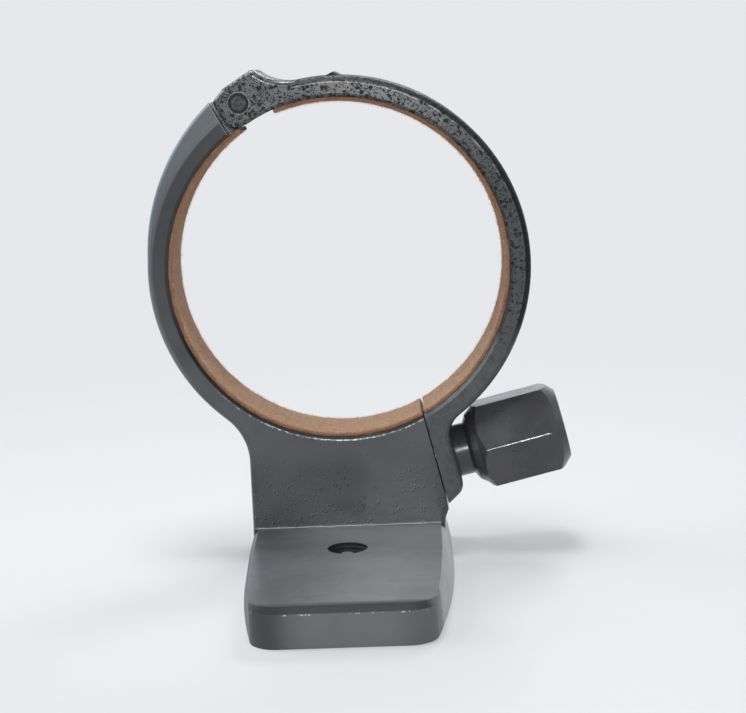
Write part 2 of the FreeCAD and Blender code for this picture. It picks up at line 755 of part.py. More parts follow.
def build_screw():
    """Screw fixed in the knob, with a plain dog point that finds the base's thread."""
    thread_end = arm_face + dim.screw_release
    body = turned_body("clamp_screw", thread_end)
    length = neck_face - thread_end + dim.screw_grip
    revolve(body, "screw", [
        (0, -dim.dog_length),
        (dim.dog_radius, -dim.dog_length),
        (dim.dog_radius, 0),
        (dim.screw_radius, 0),
        (dim.screw_radius, length),
        (0, length),
    ])
    return body


def build_washer():
    body = turned_body("clamp_washer", neck_face - dim.washer_thickness)
    ring = new_sketch(body, "washer_profile", "XY_Plane", (0, 0, 0))
    add_circle(ring, (0, 0), dim.neck_radius - dim.washer_inset)
    add_circle(ring, (0, 0), dim.screw_radius + dim.screw_clearance)
    pad(body, "washer", ring, dim.washer_thickness)
    return body


def build_bushing():
    """Thread bushing in the foot, with a screwdriver slot across its top."""
    outer = dim.socket_radius - dim.bushing_clearance
    body = new_body("thread_bushing")
    ring = new_sketch(body, "bushing_profile", "XY_Plane", (0, 0, 0))
    add_circle(ring, (0, 0), outer)
    add_circle(ring, (0, 0), dim.bushing_bore)
    pad(body, "bushing", ring, dim.bushing_length)
    slot = new_sketch(body, "slot_profile", "XY_Plane", (0, 0, dim.bushing_length))
    half = dim.bushing_slot / 2
    reach = dim.socket_radius * 1.2
    add_outline(slot, [
        ((-reach, -half), None),
        ((reach, -half), None),
        ((reach, half), None),
        ((-reach, half), None),
    ])
    pocket(body, "slot", slot, dim.bushing_slot_depth)
    return body


def check_document():
    doc.recompute()
    for item in doc.Objects:
        if "Invalid" in item.State or "Error" in item.State:
            raise RuntimeError(item.Label + " failed: " + ", ".join(item.State))


def write_nodes(nodes):
    os.makedirs("parts", exist_ok=True)
    for node in nodes:
        shape = node.Shape
        if shape.isNull() or not shape.isValid() or len(shape.Solids) != 1:
            raise RuntimeError(node.Label + " is not one valid solid")
        shape.exportStep("parts/%s.step" % node.Label)
        box = shape.BoundBox
        print("%-15s volume %9.1f  x %6.2f %6.2f  y %6.2f %6.2f  z %6.2f %6.2f" % (
            node.Label, shape.Volume, box.XMin, box.XMax, box.YMin, box.YMax, box.ZMin, box.ZMax))


nodes = [build_base(), build_arm()] + build_felts()
nodes += [build_pin(), build_knob(), build_screw(), build_washer(), build_bushing()]
check_document()
write_nodes(nodes)
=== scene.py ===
import math
import random

import bpy
from mathutils import Matrix, Vector


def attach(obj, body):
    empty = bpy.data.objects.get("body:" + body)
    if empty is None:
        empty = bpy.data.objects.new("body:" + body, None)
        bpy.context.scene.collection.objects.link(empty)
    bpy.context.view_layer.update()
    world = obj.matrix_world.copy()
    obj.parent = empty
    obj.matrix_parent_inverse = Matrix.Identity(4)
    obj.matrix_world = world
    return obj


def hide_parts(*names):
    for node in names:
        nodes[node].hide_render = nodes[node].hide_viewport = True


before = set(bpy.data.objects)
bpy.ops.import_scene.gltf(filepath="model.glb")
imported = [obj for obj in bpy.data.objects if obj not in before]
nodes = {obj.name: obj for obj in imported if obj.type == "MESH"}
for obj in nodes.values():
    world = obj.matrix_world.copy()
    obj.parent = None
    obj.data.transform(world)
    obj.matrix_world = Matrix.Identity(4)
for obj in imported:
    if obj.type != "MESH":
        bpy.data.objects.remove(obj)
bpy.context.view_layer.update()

MM = 0.001
scene = bpy.context.scene

# Places taken over from the solid model, in millimetres
RING_AXIS = Vector((0, 0, 61.75))
RING_FRONT = 16.0
RING_BACK = 32.0
FELT_OUTER = 35.0
FELT_INNER = 34.2
FELT_SETBACK = 0.75
BASE_OUTER = 39.25
ARM_OUTER = 39.3
PIN_ORBIT = 39.2
PIN_ANGLE = math.radians(118.6)
FOOT_TOP = 7.68
POST_FRONT = 16.02
KNOB_TILT = math.radians(13.3)
KNOB_NECK = Vector((22.958, 24.0, 21.142))
KNOB_FLAT = 8.7
KNOB_FRONT_EDGE = math.radians(266.0)

# Colours used more than once
PAPER = (0.80, 0.805, 0.83, 1)
PITCH = (0.010, 0.011, 0.012, 1)


# Camera, at the place and angle of the photograph

def add_camera():
    """The photograph's camera, as found from points of the object."""
    yaw, pitch, roll = math.radians(-1.19), math.radians(10.06), math.radians(-2.31)
    ahead = Vector((math.sin(yaw) * math.cos(pitch), math.cos(yaw) * math.cos(pitch), -math.sin(pitch)))
    level = Vector((math.cos(yaw), -math.sin(yaw), 0))
    rise = level.cross(ahead)
    right = level * math.cos(roll) + rise * math.sin(roll)
    up = rise * math.cos(roll) - level * math.sin(roll)
    data = bpy.data.cameras.new("camera")
    data.sensor_width = 36
    data.lens = 80.45
    data.clip_start = 0.01
    camera = bpy.data.objects.new("camera", data)
    turn = Matrix((right, up, -ahead)).transposed().to_4x4()
    camera.matrix_world = Matrix.Translation(Vector((13.3, -322.07, 103.56)) * MM) @ turn
    scene.collection.objects.link(camera)
    scene.camera = camera


# Node building

class Tree:
    """Short calls that add nodes to a material's or a group's tree and return their outputs."""

    def __init__(self, tree):
        self.tree = tree

    def add(self, kind, inputs=(), **settings):
        node = self.tree.nodes.new(kind)
        for name, value in settings.items():
            setattr(node, name, value)
        for key, value in dict(inputs).items():
            if isinstance(value, bpy.types.NodeSocket):
                self.tree.links.new(value, node.inputs[key])
            else:
                node.inputs[key].default_value = value
        return node

    def math(self, operation, first, second=0.0, clamp=False):
        node = self.add("ShaderNodeMath", {0: first, 1: second}, operation=operation, use_clamp=clamp)
        return node.outputs[0]

    def times(self, first, *others):
        for other in others:
            first = self.math("MULTIPLY", first, other)
        return first

    def most(self, first, *others):
        for other in others:
            first = self.math("MAXIMUM", first, other)
        return first

    def length(self, x, y):
        flat = self.add("ShaderNodeCombineXYZ", {"X": x, "Y": y}).outputs[0]
        return self.add("ShaderNodeVectorMath", {0: flat}, operation="LENGTH").outputs["Value"]

    def noise(self, point, scale, detail=2.0, roughness=0.5, distortion=0.0):
        node = self.add("ShaderNodeTexNoise", {
            "Vector": point, "Scale": scale, "Detail": detail,
            "Roughness": roughness, "Distortion": distortion})
        return node.outputs["Fac"]

    def step(self, value, low, high, start=0.0, end=1.0):
        node = self.add("ShaderNodeMapRange", {
            "Value": value, "From Min": low, "From Max": high, "To Min": start, "To Max": end},
            interpolation_type="SMOOTHSTEP")
        return node.outputs["Result"]

    def mix(self, share, first, second):
        node = self.add("ShaderNodeMix", {0: share, 6: first, 7: second}, data_type="RGBA")
        return node.outputs[2]

    def group(self, tree, **inputs):
        node = self.tree.nodes.new("ShaderNodeGroup")
        node.node_tree = tree
        for key, value in inputs.items():
            socket = node.inputs[key.replace("_", " ")]
            if isinstance(value, bpy.types.NodeSocket):
                self.tree.links.new(value, socket)
            else:
                socket.default_value = value
        return node.outputs


def new_group(name, inputs, outputs, build):
    """A shader node group. Inputs are names with a number, or None for a place in millimetres."""
    tree = bpy.data.node_groups.new(name, "ShaderNodeTree")
    for label, value in inputs:
        kind = "NodeSocketVector" if value is None else "NodeSocketFloat"
        socket = tree.interface.new_socket(name=label, in_out="INPUT", socket_type=kind)
        if value is not None:
            socket.default_value = value
    for label in outputs:
        tree.interface.new_socket(name=label, in_out="OUTPUT", socket_type="NodeSocketFloat")
    entry = tree.nodes.new("NodeGroupInput")
    leave = tree.nodes.new("NodeGroupOutput")
    results = build(Tree(tree), entry.outputs)
    for label, result in zip(outputs, results):
        tree.links.new(result, leave.inputs[label])
    return tree


def build_grain(n, given):
    """Fine orange peel of sprayed paint with a slow change of tone."""
    peel = n.noise(given["Place"], 2.2, 2.0)
    tooth = n.noise(given["Place"], 9.0, 1.0)
    height = n.math("ADD", peel, n.times(tooth, 0.6))
    tone = n.noise(given["Place"], 0.11, 3.0)
    return height, tone


def build_pits(n, given):
    """Round sink marks of a rough casting in three sizes; the amount runs from none to everywhere."""
    sway = n.add("ShaderNodeTexNoise", {"Vector": given["Place"], "Scale": 1.6, "Detail": 2.0})
    shift = n.add("ShaderNodeVectorMath", {0: sway.outputs["Color"], 1: (0.5, 0.5, 0.5)},
                  operation="SUBTRACT")
    shift = n.add("ShaderNodeVectorMath", {0: shift.outputs[0], "Scale": 0.9}, operation="SCALE")
    moved = n.add("ShaderNodeVectorMath", {0: given["Place"], 1: shift.outputs[0]}, operation="ADD")
    point = moved.outputs[0]
    rare = n.math("SUBTRACT", 1.0, given["Amount"])
    layers = []
    for scale, widest in ((1.1, 0.60), (2.1, 0.56), (3.4, 0.50)):
        cells = n.add("ShaderNodeTexVoronoi", {"Vector": point, "Scale": scale}, feature="F1")
        chance = n.add("ShaderNodeSeparateColor", {"Color": cells.outputs["Color"]}).outputs[0]
        radius = n.times(n.math("SUBTRACT", chance, rare), widest)
        inside = n.math("SUBTRACT", radius, cells.outputs["Distance"])
        layers.append(n.step(inside, -0.06, 0.07))
    return n.most(*layers), n.noise(given["Place"], 0.5, 3.0)


def build_specks(n, given):
    """Scattered round specks of all sizes up to a widest one; a higher rarity leaves fewer of them."""
    cells = n.add("ShaderNodeTexVoronoi", {"Vector": given["Place"], "Scale": given["Spacing"]}, feature="F1")
    chance = n.add("ShaderNodeSeparateColor", {"Color": cells.outputs["Color"]}).outputs[0]
    radius = n.times(n.math("SUBTRACT", chance, given["Rarity"]), 0.85)
    return (n.step(n.math("SUBTRACT", radius, cells.outputs["Distance"]), -0.09, 0.05),)


def build_smudge(n, given):
    """Handling marks: soft patches where the finish is shinier or duller."""
    cloud = n.noise(given["Place"], 0.16, 4.0, 0.6, 0.8)
    return (n.step(cloud, 0.35, 0.68),)


GRAIN = new_group("paint grain", [("Place", None)], ["Height", "Tone"], build_grain)
PITS = new_group("casting pits", [("Place", None), ("Amount", 0.5)], ["Mask", "Blotch"], build_pits)
SPECKS = new_group("specks", [("Place", None), ("Spacing", 1.0), ("Rarity", 0.8)], ["Mask"], build_specks)
SMUDGE = new_group("handling marks", [("Place", None)], ["Mask"], build_smudge)


def new_material(name, **fixed):
    """A material with its tree, its surface shader and the place on the surface in millimetres."""
    material = bpy.data.materials.new(name)
    material.use_nodes = True
    material.node_tree.nodes.clear()
    n = Tree(material.node_tree)
    shader = n.add("ShaderNodeBsdfPrincipled", fixed)
    n.add("ShaderNodeOutputMaterial", {"Surface": shader.outputs[0]})
    coords = n.add("ShaderNodeTexCoord")
    place = n.add("ShaderNodeVectorMath", {0: coords.outputs["Object"], 1: (1000, 1000, 1000)},
                  operation="MULTIPLY")
    return material, n, shader, place.outputs[0]


def feed(n, shader, **sockets):
    """Links values to the shader's sockets, named with underscores for spaces."""
    for key, value in sockets.items():
        n.tree.links.new(value, shader.inputs[key.replace("_", " ")])


def bump(n, height, depth, strength=1.0, under=None):
    """The normal of a relief that is depth millimetres high, over another relief if one is given."""
    inputs = {"Height": height, "Distance": depth * MM, "Strength": strength}
    if under is not None:
        inputs["Normal"] = under
    return n.add("ShaderNodeBump", inputs).outputs[0]


def split(n, place):
    parts = n.add("ShaderNodeSeparateXYZ", {0: place})
    return parts.outputs["X"], parts.outputs["Y"], parts.outputs["Z"]


PAINT = {"IOR": 1.5, "Specular IOR Level": 0.25, "Roughness": 0.6, "Coat IOR": 1.55}


def band(n, value, low, high, soft):
    """One between two values and zero outside, with soft ends."""
    rise = n.step(value, low - soft, low)
    fall = n.step(value, high, high + soft, 1.0, 0.0)
    return n.times(rise, fall)


def from_pin(n, x, z):
    """How far a place lies from the hinge pin around the ring, towards the base."""
    level = n.math("SUBTRACT", z, RING_AXIS.z)
    return n.math("ADD", n.times(x, -math.sin(PIN_ANGLE)), n.times(level, math.cos(PIN_ANGLE)))


def from_axis(n, x, z):
    """How far a place lies from the ring's axis."""
    return n.length(x, n.math("SUBTRACT", z, RING_AXIS.z))


def base_paint():
    """Satin charcoal paint of the base: peppered post, painted paler and darker patches, and a dark foot rim
    and bright edge lines that are painted reflections and glints.
    """
    material, n, shader, place = new_material("base paint", **PAINT, **{"Coat Roughness": 0.28})
    grain = n.group(GRAIN, Place=place)
    marks = n.group(SMUDGE, Place=place)["Mask"]
    x, y, z = split(n, place)
    reach = from_axis(n, x, z)
    post = n.step(y, 15.0, 15.8)
    nose = n.step(y, -33.0, -35.2)
    foot = n.step(z, 8.2, 7.2)
    ring = n.step(z, 36.0, 46.0)
    tone = n.mix(n.step(grain["Tone"], 0.3, 0.7), (0.030, 0.033, 0.037, 1), (0.042, 0.046, 0.051, 1))

    # Painted light: the foot is paler in the middle of its nose, to the right of its top and below the post
    nose_painted_light = n.times(nose, n.step(x, -13.0, -9.0, 0.45, 1.0), n.step(x, 8.0, 13.0, 1.0, 0.0))
    foot_top_painted_light = n.times(n.step(x, -17.0, 12.0, -0.3, 1.0), n.step(y, 16.0, 13.0))
    tone = n.mix(n.times(n.most(nose_painted_light, foot_top_painted_light), foot), tone, (0.115, 0.120, 0.125, 1))
    post_foot_painted_light = n.times(n.step(y, -4.0, 13.0, 0.0, 0.35), n.step(x, -16.0, -6.0), n.step(y, 16.0, 15.0), foot)
    tone = n.mix(post_foot_painted_light, tone, (0.26, 0.265, 0.275, 1))

    # A painted reflection makes the heel of the ring paler, and the post is peppered with pinholes, each
    # painted dark as shade, with a crumb beside it painted light as a highlight
    tone = n.mix(n.times(band(n, z, 25.0, 38.0, 8.0), 0.5), tone, (0.085, 0.090, 0.097, 1))
    rarity = n.step(z, 9.0, 38.0, 0.50, 0.98)
    large = n.group(SPECKS, Place=place, Spacing=1.7, Rarity=rarity)["Mask"]
    small = n.group(SPECKS, Place=place, Spacing=2.8, Rarity=n.step(z, 9.0, 32.0, 0.66, 0.99))["Mask"]
    dots = n.times(n.most(large, small), post)
    beside = n.add("ShaderNodeVectorMath", {0: place, 1: (0.16, 0.0, -0.17)}, operation="ADD").outputs[0]
    lit_crumbs = n.times(n.group(SPECKS, Place=beside, Spacing=1.7, Rarity=rarity)["Mask"], post)
    tone = n.mix(n.times(dots, 0.85), tone, (0.006, 0.006, 0.007, 1))
    tone = n.mix(n.times(n.math("SUBTRACT", lit_crumbs, dots, True), 0.8), tone, (0.20, 0.205, 0.215, 1))

    # Painted shade on the foot's left side and in a spot on the post, and painted dark reflections on the
    # nose's rim and the bore's chamfer
    left = n.times(foot, n.step(x, -17.0, -5.0, 0.6, 0.0))
    tone = n.mix(left, tone, PITCH)
    spot = n.length(n.times(x, 0.8), n.math("SUBTRACT", z, 17.5))
    spot = n.times(n.step(spot, 1.0, 7.5, 0.55, 0.0), post)
    tone = n.mix(spot, tone, (0.004, 0.004, 0.004, 1))
    rim = n.times(nose, band(n, z, 6.6, 8.0, 0.3))
    tone = n.mix(n.times(rim, 0.8), tone, PITCH)
    chamfer = n.times(band(n, reach, 34.5, 35.5, 0.08), n.step(y, 16.9, 16.7), n.step(z, 60.0, 45.0))
    tone = n.mix(n.times(chamfer, 0.85), tone, (0.010, 0.010, 0.011, 1))

    # Painted glints: broken pale lines along the bore's lower edge, the nose and the hinge's step
    dashes = n.step(n.noise(place, 1.7, 2.0, 0.6), 0.48, 0.60)
    face_edge = n.step(y, 16.45, 16.2)
    bore_glint = n.times(band(n, reach, 35.58, 35.78, 0.06), n.step(z, 40.0, 31.0), face_edge)
    nose_glint = n.times(band(n, z, 6.22, 6.42, 0.06), nose, n.step(n.noise(place, 0.45, 1.0), 0.50, 0.56))
    hinge_glint = n.times(band(n, from_pin(n, x, z), 5.1, 5.30, 0.05), n.step(z, 80.0, 82.0), face_edge, 0.55)
    hinge_glint = n.times(hinge_glint, n.step(dashes, 0.0, 1.0, 0.55, 1.0))
    lines = n.most(n.times(n.most(bore_glint, nose_glint), dashes), hinge_glint)
    tone = n.mix(lines, tone, (0.48, 0.50, 0.53, 1))

    # Painted shade in the hole in the foot, and a painted highlight on the rounded outer edge of the ring's
    # face
    hole = n.times(n.step(n.length(x, y), 4.5, 4.1), n.step(z, FOOT_TOP, 7.5))
    tone = n.mix(hole, tone, (0.012, 0.013, 0.014, 1))
    thread = n.times(n.math("SINE", n.times(z, 6.9)), hole)
    ring_edge_highlight = n.times(n.step(reach, 37.9, 38.4, 0.0, 0.4), ring, n.step(y, 17.2, 16.6))
    tone = n.mix(ring_edge_highlight, tone, (0.24, 0.275, 0.285, 1))

    dull = n.most(n.times(dots, 0.5), n.times(rim, 0.9), n.times(chamfer, 0.8))
    gloss = n.math("SUBTRACT", n.math("ADD", n.times(marks, 0.2), 0.75), dull, True)
    corner = n.times(foot, n.step(y, -24.0, -30.0), n.step(x, 8.0, 13.0, 0.0, 0.8))
    upper = n.times(n.step(z, 56.0, 76.0, 0.0, 0.5), n.step(y, 18.0, 17.0))
    gloss = n.times(gloss, n.math("SUBTRACT", 1.0, n.most(corner, upper, left)))

    fine = bump(n, grain["Height"], 0.010)
    raised = bump(n, n.math("ADD", n.math("SUBTRACT", lit_crumbs, dots), thread), 0.12, 1.0, fine)
    edge = bump(n, n.times(n.step(reach, 37.9, BASE_OUTER), ring), -0.8, 1.0, raised)
    feed(n, shader, Base_Color=tone, Coat_Weight=gloss, Normal=edge)
    return material


def arm_paint():
    """Glossier paint of the arm over a rough casting, most pitted at the top and the hinge."""
    material, n, shader, place = new_material("arm paint", **PAINT, **{"Coat Roughness": 0.22})
    grain = n.group(GRAIN, Place=place)
    marks = n.group(SMUDGE, Place=place)["Mask"]
    x, y, z = split(n, place)
    reach = from_axis(n, x, z)
    tone = n.mix(n.step(grain["Tone"], 0.3, 0.7), (0.030, 0.032, 0.036, 1), (0.048, 0.051, 0.056, 1))
    # Painted light: the top of the face is lighter, less so towards the right, and the face is paler towards
    # its lower end
    lit_upper_face = n.times(n.step(z, 66.0, 94.0), n.step(x, 6.0, 34.0, 1.0, 0.5))
    tone = n.mix(lit_upper_face, tone, (0.108, 0.113, 0.122, 1))
    tone = n.mix(n.step(z, 46.0, 34.0, 0.0, 0.4), tone, (0.090, 0.095, 0.102, 1))

    # Pits, pinholes and the groove round the pin, painted dark as shade in their hollows
    pits = n.group(PITS, Place=place, Amount=n.step(z, 34.0, 92.0, 0.78, 0.95))
    dots = n.group(SPECKS, Place=place, Spacing=1.9, Rarity=0.72)["Mask"]
    tone = n.mix(n.step(pits["Blotch"], 0.35, 0.65), tone, n.mix(0.35, tone, (0.02, 0.021, 0.024, 1)))
    pin_x = PIN_ORBIT * math.cos(PIN_ANGLE)
    pin_z = RING_AXIS.z + PIN_ORBIT * math.sin(PIN_ANGLE)
    ring = n.length(n.math("SUBTRACT", x, pin_x), n.math("SUBTRACT", z, pin_z))
    groove = n.times(band(n, ring, 1.55, 1.95, 0.12), 0.8)
    dark = n.most(n.times(pits["Mask"], n.step(z, 36.0, 60.0, 0.25, 0.9)), n.times(dots, 0.4), groove)
    tone = n.mix(dark, tone, (0.008, 0.008, 0.009, 1))
    # A painted highlight on the rim round the pin's end
    tone = n.mix(n.times(band(n, ring, 2.14, 2.24, 0.06), 0.6), tone, (0.30, 0.31, 0.33, 1))

    # Painted shade where the outer edge of the face falls away, with a broken painted glint where it starts
    part = n.times(n.step(z, 44.0, 50.0), n.step(x, -11.0, -6.0))
    edge_painted_shade = n.times(n.step(reach, 38.0, 38.25), part)
    tone = n.mix(n.times(edge_painted_shade, 0.75), tone, (0.012, 0.012, 0.013, 1))
    glint = n.times(band(n, reach, 37.85, 38.0, 0.08), part, n.step(y, 16.45, 16.2))
    broken = n.times(n.step(z, 70.0, 96.0, 0.05, 0.6), n.step(n.noise(place, 0.4, 1.0), 0.46, 0.54))
    tone = n.mix(n.times(glint, broken), tone, (0.5, 0.52, 0.55, 1))

    gloss = n.math("SUBTRACT", n.math("ADD", n.times(marks, 0.25), 0.75), dark, True)
    gloss = n.times(gloss, n.step(y, 16.7, 17.5, 1.0, 0.15))
    gloss = n.times(gloss, n.math("SUBTRACT", 1.0, n.times(edge_painted_shade, 0.85)))

    fine = bump(n, grain["Height"], 0.014)
    hollow = bump(n, dark, -0.16, 0.9, fine)
    edge = bump(n, n.times(n.step(reach, 38.0, ARM_OUTER), part), -0.8, 1.0, hollow)
    feed(n, shader, Base_Color=tone, Coat_Weight=gloss, Normal=edge)
    return material


def pin_paint():
    """Black paint over the pin's rough ends."""
    material, n, shader, place = new_material("pin paint", **PAINT, **{"Coat Roughness": 0.2})
    rough = n.noise(place, 1.8, 3.0, 0.6)
    tone = n.mix(n.step(rough, 0.35, 0.65), (0.012, 0.012, 0.013, 1), (0.055, 0.057, 0.062, 1))
    coat = n.step(rough, 0.3, 0.6, 0.4, 1.0)
    dent = bump(n, rough, 0.12)
    feed(n, shader, Base_Color=tone, Coat_Weight=coat, Normal=dent)
    return material


def felt_cloth():
    """Tan felt with tangled fibres and a redder, lighter nap towards its cut edges."""
    material, n, shader, place = new_material("felt", **{
        "Sheen Weight": 0.12, "Sheen Roughness": 0.4, "Roughness": 0.95, "Specular IOR Level": 0.1})
    tangle = n.noise(place, 3.2, 4.0, 0.7, 1.5)
    patch = n.noise(place, 0.35, 3.0, 0.6)
    depth = split(n, place)[1]
    middle = (RING_FRONT + RING_BACK) / 2
    half = (RING_BACK - RING_FRONT) / 2 - FELT_SETBACK
    from_edge = n.math("SUBTRACT", half, n.math("ABSOLUTE", n.math("SUBTRACT", depth, middle)))
    edge = n.step(from_edge, 0.05, 0.6, 1.0, 0.0)
    tone = n.mix(n.step(tangle, 0.35, 0.65), (0.19, 0.107, 0.064, 1), (0.53, 0.342, 0.225, 1))
    tone = n.mix(n.times(n.step(patch, 0.4, 0.65), 0.35), tone, (0.27, 0.165, 0.10, 1))
    tone = n.mix(n.times(edge, 0.5), tone, (0.40, 0.19, 0.10, 1))
    feed(n, shader, Base_Color=tone, Normal=bump(n, tangle, 0.22))
    return material


def fibre_cloth():
    """Single loose fibres of the felt."""
    material, n, shader, place = new_material("felt fibre", **{"Sheen Weight": 0.4, "Roughness": 0.9})
    shade = n.noise(place, 1.4, 2.0)
    tone = n.mix(n.step(shade, 0.3, 0.7), (0.34, 0.15, 0.08, 1), (0.55, 0.31, 0.19, 1))
    feed(n, shader, Base_Color=tone)
    return material


def knob_black():
    """Black anodised metal with faint lathe lines round the knob and handling marks."""
    material, n, shader, place = new_material("knob anodising", **{"Metallic": 0.0, "IOR": 1.5})
    x, _, z = split(n, place)
    along = n.math("ADD", n.times(x, math.cos(KNOB_TILT)), n.times(z, math.sin(KNOB_TILT)))
    waves = n.math("SINE", n.times(along, 38.0))
    grain = n.group(GRAIN, Place=place)
    marks = n.group(SMUDGE, Place=place)["Mask"]
    tone = n.mix(n.step(grain["Tone"], 0.35, 0.65), (0.043, 0.043, 0.045, 1), (0.063, 0.063, 0.065, 1))
    rough = n.math("ADD", n.times(marks, 0.08), 0.24)
    lines = bump(n, waves, 0.002, 0.5)
    feed(n, shader, Base_Color=tone, Roughness=rough, Normal=bump(n, grain["Height"], 0.006, 1.0, lines))
    return material


def turned_steel(name, tone_low, tone_high, rough_low):
    """Bare turned steel with fine rings and a little tarnish."""
    material, n, shader, place = new_material(name, **{"Metallic": 1.0})
    cloud = n.noise(place, 0.9, 4.0, 0.6)
    scratch = n.noise(place, 14.0, 1.0)
    tone = n.mix(n.step(cloud, 0.3, 0.7), tone_low, tone_high)
    rough = n.math("ADD", n.times(scratch, 0.15), rough_low)
    feed(n, shader, Base_Color=tone, Roughness=rough, Normal=bump(n, scratch, 0.006))
    return material


def washer_black():
    """Plain black washer."""
    material, n, shader, place = new_material("washer", **{"Roughness": 0.5})
    grain = n.group(GRAIN, Place=place)
    tone = n.mix(grain["Tone"], (0.015, 0.015, 0.015, 1), (0.03, 0.03, 0.03, 1))
    feed(n, shader, Base_Color=tone, Normal=bump(n, grain["Height"], 0.004))
    return material


# Pieces

def dress_node(name, material):
    """Gives a solid its finish."""
    piece = nodes[name]
    piece.data.materials.clear()
    piece.data.materials.append(material)


def link_mesh(name, verts, faces, material, body):
    """A smooth piece that rides on a body."""
    mesh = bpy.data.meshes.new(name)
    mesh.from_pydata(verts, [], faces)
    mesh.validate()
    mesh.shade_smooth()
    mesh.materials.append(material)
    piece = bpy.data.objects.new(name, mesh)
    scene.collection.objects.link(piece)
    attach(piece, body)
    return piece


def ring_point(radius, angle, depth):
    """A point on the ring in metres, from millimetres and an angle in radians."""
    return Vector((radius * math.cos(angle), depth, RING_AXIS.z + radius * math.sin(angle))) * MM


def felt_section():
    """Half-rounded section of the lining as radius and depth, from the front round to the back."""
    low, high = RING_FRONT + FELT_SETBACK, RING_BACK - FELT_SETBACK
    loop = [(FELT_OUTER - 0.02, low + 0.02), (FELT_INNER + 0.35, low), (FELT_INNER + 0.10, low + 0.12)]
    steps = 26
    for count in range(steps + 1):
        loop.append((FELT_INNER, low + 0.35 + (high - low - 0.7) * count / steps))
    loop += [(FELT_INNER + 0.10, high - 0.12), (FELT_INNER + 0.35, high), (FELT_OUTER - 0.02, high - 0.02)]
    return loop


def strip_faces(rows, wide):
    """Faces between rows of points round a section, and a face at each end."""
    faces = []
    for row in range(rows - 1):
        first = row * wide
        for count in range(wide):
            after = (count + 1) % wide
            faces.append((first + count, first + after, first + wide + after, first + wide + count))
    faces.append(tuple(range(wide)))
    faces.append(tuple(reversed(range((rows - 1) * wide, rows * wide))))
    return faces


def lay_felt(name, node, start, end, body, seed):
    """A lining: a strip round the bore whose surface and cut edges waver a little."""
    pick = random.Random(seed)
    section = felt_section()
    steps = max(8, int(abs(end - start) / 0.55))
    rows = [[pick.uniform(-1, 1) for count in section] for step in range(steps + 1)]
    wave = [pick.uniform(0, math.tau) for count in range(4)]
    verts = []
    for step in range(steps + 1):
        angle = math.radians(start + (end - start) * step / steps)
        ripple = 0.13 * math.sin(angle * 31 + wave[0]) + 0.10 * math.sin(angle * 77 + wave[1])
        for count, (radius, depth) in enumerate(section):
            jitter = rows[step][count]
            side = -1 if count < len(section) / 2 else 1
            near_edge = min(count, len(section) - 1 - count)
            spread = side * (0.10 * jitter + ripple) if near_edge < 4 else 0.0
            lift = 0.05 * jitter if radius < FELT_OUTER - 0.1 else 0.0
            verts.append(ring_point(radius + lift, angle, depth + spread))
    piece = link_mesh(name, verts, strip_faces(steps + 1, len(section)), FELT, body)
    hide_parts(node)


def comb_fibres(name, start, end, body, seed, count):
    """Loose fibres that stand out of the lining's cut edges and its nap."""
    pick = random.Random(seed)
    verts, faces = [], []
    low, high = RING_FRONT + FELT_SETBACK, RING_BACK - FELT_SETBACK
    front_share, back_share = 0.42, 0.22
    for _ in range(count):
        angle = math.radians(pick.uniform(start, end))
        place = pick.random()
        if place < front_share:
            depth, outward = low + pick.uniform(-0.05, 0.25), -1.0
        elif place < front_share + back_share:
            depth, outward = high - pick.uniform(-0.05, 0.25), 1.0
        else:
            depth, outward = pick.uniform(low, high), 0.0
        radius = FELT_INNER + (pick.uniform(0.0, 0.5) if outward else 0.02)
        root = ring_point(radius, angle, depth)
        centre = ring_point(0, angle, depth)
        inward = (centre - root).normalized()
        around = Vector((-math.sin(angle), 0, math.cos(angle)))
        length = pick.uniform(0.2, 0.7) * MM
        lean = around * pick.gauss(0, 0.7)
        lean += Vector((0, 1, 0)) * (outward * pick.uniform(0.2, 0.9) + pick.gauss(0, 0.25))
        way = (inward * pick.uniform(0.15, 0.7) + lean).normalized()
        curl = around * pick.gauss(0, 0.35) + inward * pick.gauss(0, 0.2)
        width = way.cross(Vector((pick.gauss(0, 1), pick.gauss(0, 1), pick.gauss(0, 1)))).normalized()
        width *= pick.uniform(0.018, 0.032) * MM
        first = len(verts)
        for share in (0.0, 0.5, 1.0):
            spot = root + (way + curl * share * share) * length * share
            taper = 1.0 - 0.8 * share
            verts += [spot - width * taper, spot + width * taper]
        faces += [(first, first + 1, first + 3, first + 2), (first + 2, first + 3, first + 5, first + 4)]
    piece = link_mesh(name, verts, faces, FIBRE, body)


def lay_knob_edge_highlight():
    """A painted highlight: a bright metal strip along the rounded edge between the knob's two front flats,
    where that edge catches the front lamp.
    """
    axis = Vector((math.cos(KNOB_TILT), 0, math.sin(KNOB_TILT)))
    side = Vector((-math.sin(KNOB_TILT), 0, math.cos(KNOB_TILT)))
    out = Vector((0, 1, 0)) * math.sin(KNOB_FRONT_EDGE) - side * math.cos(KNOB_FRONT_EDGE)
    beside = axis.cross(out)
    neck = KNOB_NECK + axis * (9.05 - 8.86)
    corner = KNOB_FLAT / math.cos(math.radians(30))
    sunk, widest, narrowest = 0.08, 0.13, 0.03
    near, far = 5.95, 20.35
    verts, faces = [], []
    around, steps = 8, 24
    for step in range(steps + 1):
        thick = widest if 0 < step < steps else narrowest
        middle = neck + axis * (near + (far - near) * step / steps) + out * (corner - sunk)
        for count in range(around):
            angle = math.tau * count / around
            verts.append((middle + out * (thick * math.cos(angle)) + beside * (thick * math.sin(angle))) * MM)
    for step in range(steps):
        low = step * around
        for count in range(around):
            after = (count + 1) % around
            faces.append((low + count, low + after, low + around + after, low + around + count))
    piece = link_mesh("knob_edge", verts, faces, KNOB_EDGE_HIGHLIGHT, "knob")


